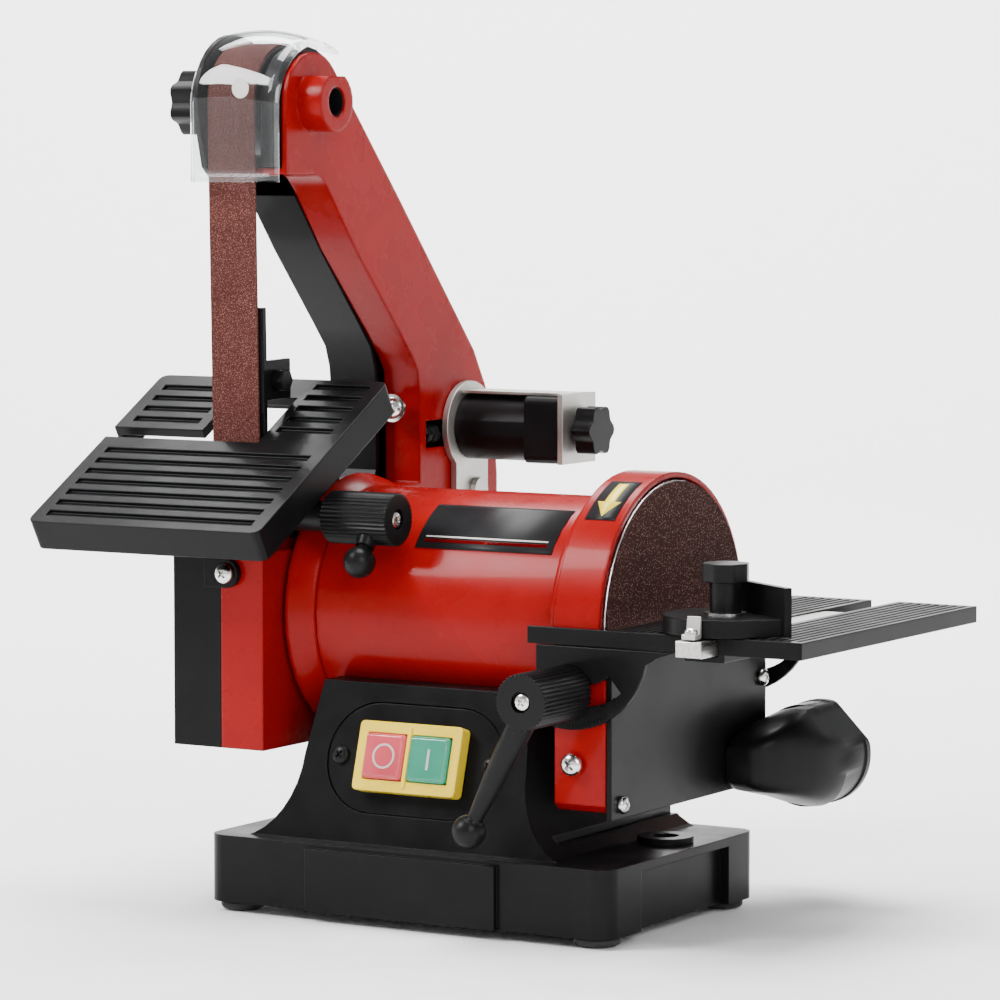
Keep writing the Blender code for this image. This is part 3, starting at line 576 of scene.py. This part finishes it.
def build_upper_guard():
    """The clear hood: a domed shell over the top wheel, open below and behind."""
    low, high = corners("upper_guard")
    y, z, _ = wheel("upper_wheel")
    reach = y - low.y
    x_low, x_high = low.x + 0.7, high.x
    foot = low.z + 0.2
    rows = []
    for i in range(HOOD_SLICES + 1):
        out = i / HOOD_SLICES
        x = x_high + (x_low - x_high) * math.sin(out * math.pi / 2)
        drop = HOOD_SHOULDER * (1 - math.sqrt(1 - 0.98 * out**6))
        row = [(x, low.y + drop, foot + (z - low.z) * k / 6) for k in range(6)]
        beside_arm = max(0.0, 1 - out / 0.45)
        lower_crown = 3.5 * out**2 + 6.5 * beside_arm**2
        for a, b in arc(0, 0, 1, 180, 52, 30):
            radius = reach - drop - max(0.0, b) * lower_crown
            row.append((x, y + a * radius, z + b * radius))
        rows.append(row)
    bm = bmesh.new()
    grid = [[bm.verts.new(spot) for spot in row] for row in rows]
    for first, second in zip(grid, grid[1:]):
        for i in range(len(first) - 1):
            bm.faces.new((first[i], first[i + 1], second[i + 1], second[i]))
    corner = bm.verts.new((x_low, y + 10, foot))
    bm.faces.new(grid[-1] + [corner])
    hood = to_object("upper_guard_body", bm, CLEAR, 60.0)
    solid = hood.modifiers.new("sheet", "SOLIDIFY")
    solid.thickness = HOOD_WALL * MM
    solid.offset = -1.0
    stands_for(hood, "upper_guard")
    # The moulding gate is a small clear dome on the hood; it is drawn as an opaque white disc, a painted
    # highlight for the light it catches.
    gate_x, gate_z = -191.6, 234.5
    button = [(0, 4.6), (0.25, 4.4), (0.3, 0)]
    gate = turned("guard_gate_painted_highlight", (gate_x, low.y + 0.3, gate_z), (0, -1, 0), button, WHITE_PRINT_AND_HIGHLIGHT)
    goes_with(gate, "base")


PORT_X, PORT_Z = 19.5, -68.2
PORT_RADIUS = 23.4
PORT_SIDES = 64
FLAT_AT = -19.2


def build_dust_port():
    """The outlet: a squarish nose beside the dust cover that swells and turns into a round port.

    Each section is Y, then its reach as low X, high X, low Z and high Z, then how square it is: 2 is an
    ellipse. The corner past X + Z = FLAT_AT is cut flat, to clear the tilted table.
    """
    rim_y = corners("dust_port")[1].y

    def ring_section(y, radius, height=None):
        height = height or radius
        return y, PORT_X - radius, PORT_X + radius, PORT_Z - height, PORT_Z + height, 2.0

    sections = [
        (39.0, 4.0, 17.0, -76.0, -60.0, 6.0),
        (42.0, 4.0, 24.0, -79.5, -55.5, 5.0),
        (50.0, 4.0, 29.0, -81.5, -52.0, 4.5),
        (62.0, 4.0, 36.5, -84.5, -48.5, 3.6),
        (74.0, 4.0, 41.5, -88.5, -45.6, 2.9),
        (84.2, 4.0, 42.5, -91.0, -45.2, 2.4),
        ring_section(84.7, PORT_RADIUS),
        ring_section(102.0, PORT_RADIUS),
        ring_section(102.4, 24.2, 24.0),
        ring_section(rim_y, 24.2, 24.0),
        ring_section(rim_y, 18.5),
        ring_section(70.0, 14.0),
    ]
    bm = bmesh.new()
    rings = []
    for y, x1, x2, z1, z2, power in sections:
        ring = []
        for a, b in arc(0, 0, 1, 0, 360, PORT_SIDES)[:-1]:
            x = (x1 + x2) / 2 + (x2 - x1) / 2 * math.copysign(abs(a) ** (2 / power), a)
            z = (z1 + z2) / 2 + (z2 - z1) / 2 * math.copysign(abs(b) ** (2 / power), b)
            over = max(0.0, x + z - FLAT_AT) / 2
            ring.append(bm.verts.new((x - over, y, z - over)))
        rings.append(ring)
    for first, second in zip(rings, rings[1:]):
        walls(bm, first, second)
    bm.faces.new(rings[0])
    bm.faces.new(rings[-1])
    port = to_object("dust_port_body", bm, PLASTIC, 40.0)
    bevel(port, 0.6, 2, 40.0)
    stands_for(port, "dust_port")


def phillips(name, centre, direction, radius, height, body, node=None, material=SCREW):
    """A pan-head screw: a low dome with a cross cut into it. centre is the middle of the head's seat."""
    dome = [(-0.2, 0), (-0.2, radius), (height * 0.35, radius)]
    dome += [(height * (0.35 + 0.65 * math.sin(t)), radius * math.cos(t)) for t in (0.4, 0.8, 1.2)]
    dome += [(height, 0)]
    head = turned(name, centre, direction, dome, material, 32)
    direction = Vector(direction).normalized()
    side = direction.orthogonal().normalized()
    up = direction.cross(side)
    tip = Vector(centre) + direction * (height * 0.35)
    mouth = Vector(centre) + direction * (height + 0.5)
    signs = ((1, 1), (-1, 1), (-1, -1), (1, -1))
    cutters = []
    for first, second in ((side, up), (up, side)):
        bm = bmesh.new()
        rings = []
        for spot, long, wide in ((tip, 0.3, 0.08), (mouth, 0.62, 0.14)):
            length, width = radius * long, radius * wide
            rings.append([bm.verts.new(spot + first * length * a + second * width * b) for a, b in signs])
        bm.faces.new(rings[0])
        bm.faces.new(rings[1])
        walls(bm, *rings)
        cutters.append(to_object("cross", bm, material))
    subtract(head, *cutters)
    if node:
        return stands_for(head, node)
    return goes_with(head, body)


BOSS = (-171.1, -25.2, 228.4)


def build_screws():
    for node, direction, radius, height in (
        ("cover_screw", (0, -1, 0), 4.6, 3.0),
        ("guard_screw", (0, -1, 0), 5.0, 3.6),
        ("dust_cover_screw_front", (1, 0, 0), 3.9, 2.6),
        ("dust_cover_screw_rear", (1, 0, 0), 3.9, 2.6),
    ):
        low, high = corners(node)
        centre = middle(node)
        if direction[0]:
            centre.x = high.x - height
        else:
            centre.y = low.y + height
        phillips(node + "_head", centre, direction, radius, height, "base", node)
    bolt_front = corners("frame_bolt")[0].y
    centre = middle("frame_bolt")
    dome = [(0, 0), (0, 6.6), (1.5, 6.6), (1.7, 5.2), (4.6, 5.0), (6.6, 4.2), (8.0, 2.6), (8.5, 0)]
    nut = turned("frame_bolt_head", (centre.x, bolt_front + 9.1, centre.z), (0, -1, 0), dome, SCREW, 32)
    stands_for(nut, "frame_bolt")


def build_boss_liner():
    """The black sleeve in the bore of the arm's boss, 1 mm inside its mouth."""
    depth = corners("belt_frame")[1].x - BOSS[0] - 1.0
    profile = [(0, 0), (0, 6.7), (depth, 6.7), (depth, 6.2), (0.5, 6.2), (0.5, 0)]
    liner = turned("boss_liner", BOSS, (1, 0, 0), profile, PLASTIC)
    goes_with(liner, "base")


# Clamp levers


def ball_lever(name, start, tip, thick, thin, ball_radius, body):
    """A tapered arm that ends in a ball, as one turned solid."""
    span = (Vector(tip) - Vector(start)).length
    profile = [(0, 0), (0, thick), (span * 0.25, thick * 0.93), (span * 0.6, (thick + thin) / 2 * 0.94)]
    join = span - math.sqrt(ball_radius**2 - (thin * 0.9) ** 2)
    profile += [(join - 2.0, thin * 0.88), (join - 0.3, thin * 0.9)]
    first = math.asin(thin * 0.9 / ball_radius)
    for i in range(15):
        angle = first + (math.pi - first) * i / 14
        profile.append((span - ball_radius * math.cos(angle), ball_radius * math.sin(angle)))
    profile[-1] = (profile[-1][0], 0)
    arm = turned(name, start, Vector(tip) - Vector(start), profile, PLASTIC, 32, 60.0)
    return goes_with(arm, body)


RECESS = [(0, 4.6), (6, 4.6)]
LEVER_SCREW = 3.9, 2.0


def build_belt_lock():
    node = "belt_table_lock"
    y, z = -55.0, 44.2
    hub_start, arm_x = -144.0, -122.5
    out = (1, 0, 0)
    low, high = corners(node)
    hub = prism("belt_lock_hub", "X", lobes(y, z, 11.8, 0.9, 38, 4), hub_start, high.x, PLASTIC)
    subtract(hub, turned("recess", (high.x - 2.0, y, z), out, RECESS, PLASTIC))
    circle = arc(y, z, 11.2, 0, 360, 48)[:-1]
    face = prism("belt_lock_face", "X", circle, high.x - 1.5, high.x - 0.1, PLASTIC)
    subtract(face, turned("recess", (high.x - 3.0, y, z), out, RECESS, PLASTIC))
    stands_for(hub, node)
    goes_with(face, node)
    collar = [(0, 7.0), (25.0, 7.0), (25.6, 9.5), (26.5, 9.5)]
    shaft = turned("belt_lock_shaft", (-169.4, y, z), out, collar, PLASTIC)
    goes_with(shaft, node)
    stud = turned("belt_lock_stud", (low.x, y, z), out, [(0, 4.0), (8, 4.0)], TURNED)
    goes_with(stud, node)
    ball_lever("belt_lock_arm", (arm_x, y - 2, z - 3), (arm_x, y - 12.4, z - 18.3), 5.4, 3.6, 7.2, node)
    phillips("belt_lock_screw", (high.x - 2.0, y, z), out, *LEVER_SCREW, node)


def build_disc_lock():
    node = "disc_table_lock"
    x, z = -15.0, -25.0
    hub_end, arm_y = -70.5, -101.0
    out = (0, -1, 0)
    low, high = corners(node)
    hub = prism("disc_lock_hub", "Y", lobes(x, z, 12.3, 0.9, 40, 4), low.y, hub_end, PLASTIC)
    subtract(hub, turned("recess", (x, low.y + 2.0, z), out, RECESS, PLASTIC))
    circle = arc(x, z, 11.7, 0, 360, 48)[:-1]
    face = prism("disc_lock_face", "Y", circle, low.y + 0.1, low.y + 1.5, PLASTIC)
    subtract(face, turned("recess", (x, low.y + 3.0, z), out, RECESS, PLASTIC))
    stands_for(hub, node)
    goes_with(face, node)
    stud = turned("disc_lock_stud", (x, high.y, z), out, [(0, 4.0), (6, 4.0)], TURNED)
    goes_with(stud, node)
    ball_lever("disc_lock_arm", (x - 2, arm_y, z - 5), (x - 31, arm_y, z - 58.5), 6.2, 3.9, 7.4, node)
    phillips("disc_lock_screw", (x, low.y + 2.0, z), out, *LEVER_SCREW, node)


# Stickers, marks and switch details


MOTOR_RADIUS = 54.0
GUARD_RADIUS = 66.0
STICKER_LIFT = 0.12
PRINT_LIFT = 0.26
WRAP_STEPS = 16


def wrapped(name, radius, x_low, x_high, start, end, material, lift=STICKER_LIFT, shape=None):
    """A thin patch on a cylinder about the motor's axis. shape maps (u, v) in 0..1 to itself."""
    bm = bmesh.new()
    grid = []
    reach = radius + lift
    for i in range(WRAP_STEPS + 1):
        row = []
        for j in (0, 1):
            u, v = j, i / WRAP_STEPS
            if shape:
                u, v = shape(u, v)
            angle = math.radians(start + (end - start) * v)
            x = x_low + (x_high - x_low) * u
            row.append(bm.verts.new((x, reach * math.cos(angle), reach * math.sin(angle))))
        grid.append(row)
    for first, second in zip(grid, grid[1:]):
        bm.faces.new((first[0], first[1], second[1], second[0]))
    obj = to_object(name, bm, material, 60.0)
    sheet = obj.modifiers.new("sheet", "SOLIDIFY")
    sheet.thickness = 0.1 * MM
    return obj


def arrow_point(u, v):
    """Narrows a patch to a point at its far end."""
    return 0.5 + (u - 0.5) * (1 - v), v


def build_labels():
    """A blank name plate on the motor and a turning-direction arrow on the guard."""
    plate = wrapped("name_plate", MOTOR_RADIUS, -108.3, -38.2, 115.0, 144.7, LABEL)
    goes_with(plate, "base")
    stripe_ends = -104.5, -42.0
    stripe = wrapped("name_plate_stripe", MOTOR_RADIUS, *stripe_ends, 139.5, 141.2, RED, PRINT_LIFT)
    goes_with(stripe, "base")
    line = wrapped("name_plate_line", MOTOR_RADIUS, *stripe_ends, 137.6, 138.4, WHITE_PRINT_AND_HIGHLIGHT, PRINT_LIFT)
    goes_with(line, "base")
    back = wrapped("arrow_plate", GUARD_RADIUS, -20.6, -5.6, 108.5, 133.8, LABEL)
    goes_with(back, "base")
    stem = wrapped("arrow_stem", GUARD_RADIUS, -15.6, -10.6, 111.0, 124.0, ARROW, PRINT_LIFT)
    goes_with(stem, "base")
    head = wrapped("arrow_head", GUARD_RADIUS, -18.9, -7.3, 123.8, 132.0, ARROW, PRINT_LIFT, arrow_point)
    goes_with(head, "base")


SCALE_CENTRE = (-15.0, -3.0)
SCALE_RADIUS = 37.4
SCALE_STEP = 2.5
SCALE_START = 255


def build_scale():
    """Tick marks and numbers, raised on the front quadrant."""
    face = corners("quadrant_front")[0].y
    for i in range(19):
        angle = math.radians(SCALE_START + SCALE_STEP * i)
        length = 3.4 if i % 6 == 0 else 1.8
        direction = Vector((math.cos(angle), 0, math.sin(angle)))
        across = Vector((-direction.z, 0, direction.x))
        start = Vector((SCALE_CENTRE[0], face, SCALE_CENTRE[1])) + direction * SCALE_RADIUS
        bm = bmesh.new()
        tick_corners = []
        for depth in (0.2, -0.35):
            for a, b in ((0, -1), (0, 1), (-1, 1), (-1, -1)):
                spot = start + direction * length * a + across * 0.28 * b + Vector((0, depth, 0))
                tick_corners.append(bm.verts.new(spot))
        bmesh.ops.convex_hull(bm, input=tick_corners)
        goes_with(to_object(f"scale_tick_{i}", bm, BLACK), "disc_table")
    for text, x, z in (("15", -7.4, -34.2), ("30", 1.0, -31.3), ("45", 7.8, -27.6)):
        raised_number("scale_" + text, text, (x, face + 0.1, z), 4.6, "disc_table")


def raised_number(name, text, place, size, body):
    """A number standing out of a face that looks to the front."""
    curve = bpy.data.curves.new(name, "FONT")
    curve.body = text
    curve.size = size * MM
    curve.extrude = 0.3 * MM
    curve.align_x = "CENTER"
    curve.align_y = "CENTER"
    curve.resolution_u = 4
    obj = bpy.data.objects.new(name, curve)
    bpy.context.scene.collection.objects.link(obj)
    obj.matrix_world = Matrix.Translation(at(*place)) @ Matrix.Rotation(math.radians(90), 4, "X")
    bpy.context.view_layer.update()
    graph = bpy.context.evaluated_depsgraph_get()
    mesh = bpy.data.meshes.new_from_object(obj.evaluated_get(graph))
    mesh.transform(obj.matrix_world)
    bpy.data.objects.remove(obj)
    mesh.materials.clear()
    mesh.materials.append(BLACK)
    piece = bpy.data.objects.new(name, mesh)
    bpy.context.scene.collection.objects.link(piece)
    return goes_with(piece, body)


PANEL = Vector((-91.7, -70.35, -60.0))
PANEL_TILT = -16.2


def on_panel(x, out, z):
    """A point near the switch panel: across it, out of it and up it, in millimetres."""
    tilt = math.radians(PANEL_TILT)
    y = -out
    along_y = y * math.cos(tilt) - z * math.sin(tilt)
    along_z = y * math.sin(tilt) + z * math.cos(tilt)
    return PANEL + Vector((x, along_y, along_z))


def panel_solid(name, outline, low, high, material, edge=0.0):
    """An outline drawn on the switch panel and carried outwards from low to high."""
    bm = bmesh.new()
    ends = [[bm.verts.new(on_panel(a, out, b)) for a, b in outline] for out in (low, high)]
    bm.faces.new(ends[0])
    bm.faces.new(ends[1])
    walls(bm, *ends)
    obj = to_object(name, bm, material)
    return bevel(obj, edge, 3) if edge else obj


def box_outline(a, b):
    return [(a[0], b[0]), (a[1], b[0]), (a[1], b[1]), (a[0], b[1])]


def ring_outline(x, outer, inner):
    """A flat ring as one outline: out round the rim, then back round the hole."""
    return arc(x, 0, outer, 0, 360, 40) + arc(x, 0, inner, 360, 0, 40)


BUTTON_X = 11.4
PANEL_SCREW_X = 38.5
MARK_OUT = 8.4, 8.75
CAP_OUT = 7.2, 10.2


def build_switch_details():
    """The O and I on the buttons, their clear caps, the rib between them and the panel's screws."""
    marks = (
        ("off", -BUTTON_X, ring_outline(-BUTTON_X, 5.6, 4.7)),
        ("on", BUTTON_X, box_outline((BUTTON_X - 0.6, BUTTON_X + 0.6), (-4.6, 4.6))),
    )
    for name, x, outline in marks:
        body = name + "_button"
        mark = panel_solid(name + "_mark", outline, *MARK_OUT, WHITE_PRINT_AND_HIGHLIGHT)
        goes_with(mark, body)
        cap_outline = box_outline((x - 9.4, x + 9.4), (-9.6, 9.6))
        cap = panel_solid(name + "_cap", cap_outline, *CAP_OUT, CLEAR, 1.2)
        goes_with(cap, body)
    rib = panel_solid("bezel_rib", box_outline((-1.0, 1.0), (-13.5, 13.5)), 7.0, 8.3, YELLOW, 0.4)
    goes_with(rib, "base")
    normal = on_panel(0, 1, 0) - on_panel(0, 0, 0)
    for side, x in (("left", -PANEL_SCREW_X), ("right", PANEL_SCREW_X)):
        seat = on_panel(x, 0.3, 0)
        phillips("panel_screw_" + side, seat, normal, 4.2, 2.2, "base", material=PLASTIC)


def build_mitre_details():
    """The washer under the mitre knob and the pointer's screw."""
    x, y = 50.8, -50.0
    top = corners("mitre_head")[0].z + 7.6
    ring = [(0, 0), (0, 9.0), (0.9, 9.0), (0.9, 0)]
    washer = turned("mitre_washer", (x, y, top), (0, 0, 1), ring, SCREW)
    goes_with(washer, "mitre_head")
    low, _ = corners("mitre_pointer")
    seat = (middle("mitre_pointer").x, low.y + 2.6, low.z + 2.6)
    phillips("pointer_screw", seat, (0, 0, 1), 2.9, 2.4, "mitre_bar")


# Stage


FLOOR_GAP = 0.0005
FLOOR_RADIUS = 2.4
WALL_CURVE = 0.9
FLOOR_SIDES = 48


def area_light(name, place, target, size, power):
    light = bpy.data.lights.new(name, "AREA")
    light.energy = power
    light.size = size
    obj = bpy.data.objects.new(name, light)
    bpy.context.scene.collection.objects.link(obj)
    obj.location = place
    obj.rotation_euler = (Vector(target) - Vector(place)).to_track_quat("-Z", "Y").to_euler()


def build_stage():
    """A pale floor that curves up into a low wall all round, with soft lights."""
    curve = [(FLOOR_RADIUS + a, WALL_CURVE + b) for a, b in arc(0, 0, WALL_CURVE, 270, 360, 12)]
    profile = [(FLOOR_RADIUS - 0.2, 0.0), (FLOOR_RADIUS, 0.0)] + curve[1:]
    bm = bmesh.new()
    rings = []
    for radius, height in profile:
        spots = arc(0, 0, radius, 0, 360, FLOOR_SIDES)[:-1]
        rings.append([bm.verts.new((a, b, height)) for a, b in spots])
    bm.faces.new(rings[0])
    for first, second in zip(rings, rings[1:]):
        walls(bm, second, first)
    mesh = bpy.data.meshes.new("floor")
    bm.to_mesh(mesh)
    bm.free()
    mesh.shade_smooth()
    floor = bpy.data.objects.new("floor", mesh)
    floor.location.z = -FLOOR_GAP
    bpy.context.scene.collection.objects.link(floor)
    paper = surface(
        "floor_paper", (0.92, 0.92, 0.92), 0.7, grain=300.0, relief=0.02, depth=0.0002, variation=0.01
    )
    mesh.materials.append(paper)
    world = bpy.data.worlds.new("studio")
    world.use_nodes = True
    background = world.node_tree.nodes["Background"]
    background.inputs["Color"].default_value = (1, 1, 1, 1)
    background.inputs["Strength"].default_value = 0.42
    bpy.context.scene.world = world
    aim = (0, 0, 0.2)
    area_light("key", (-1.3, -1.2, 1.6), aim, 0.8, 60)
    area_light("fill", (1.5, -1.3, 1.1), aim, 0.9, 24)
    area_light("top", (0.0, 0.2, 1.9), aim, 1.0, 60)
    area_light("wall", (-0.9, 1.5, 2.3), (-1.5, 2.6, 0.3), 2.0, 220)


def build_camera():
    camera = bpy.data.cameras.new("camera")
    camera.lens = 161.2
    camera.sensor_width = 36.0
    camera.clip_start = 0.05
    obj = bpy.data.objects.new("camera", camera)
    obj.location = (1.02311, -1.73601, 0.34355)
    obj.rotation_euler = (math.radians(90 - 4.63), 0, math.radians(30.78))
    bpy.context.scene.collection.objects.link(obj)
    bpy.context.scene.camera = obj


build_camera()
build_stage()
dress_cad_nodes()
build_belt()
build_upper_guard()
build_dust_port()
build_screws()
build_boss_liner()
build_belt_lock()
build_disc_lock()
build_labels()
build_scale()
build_switch_details()
build_mitre_details()
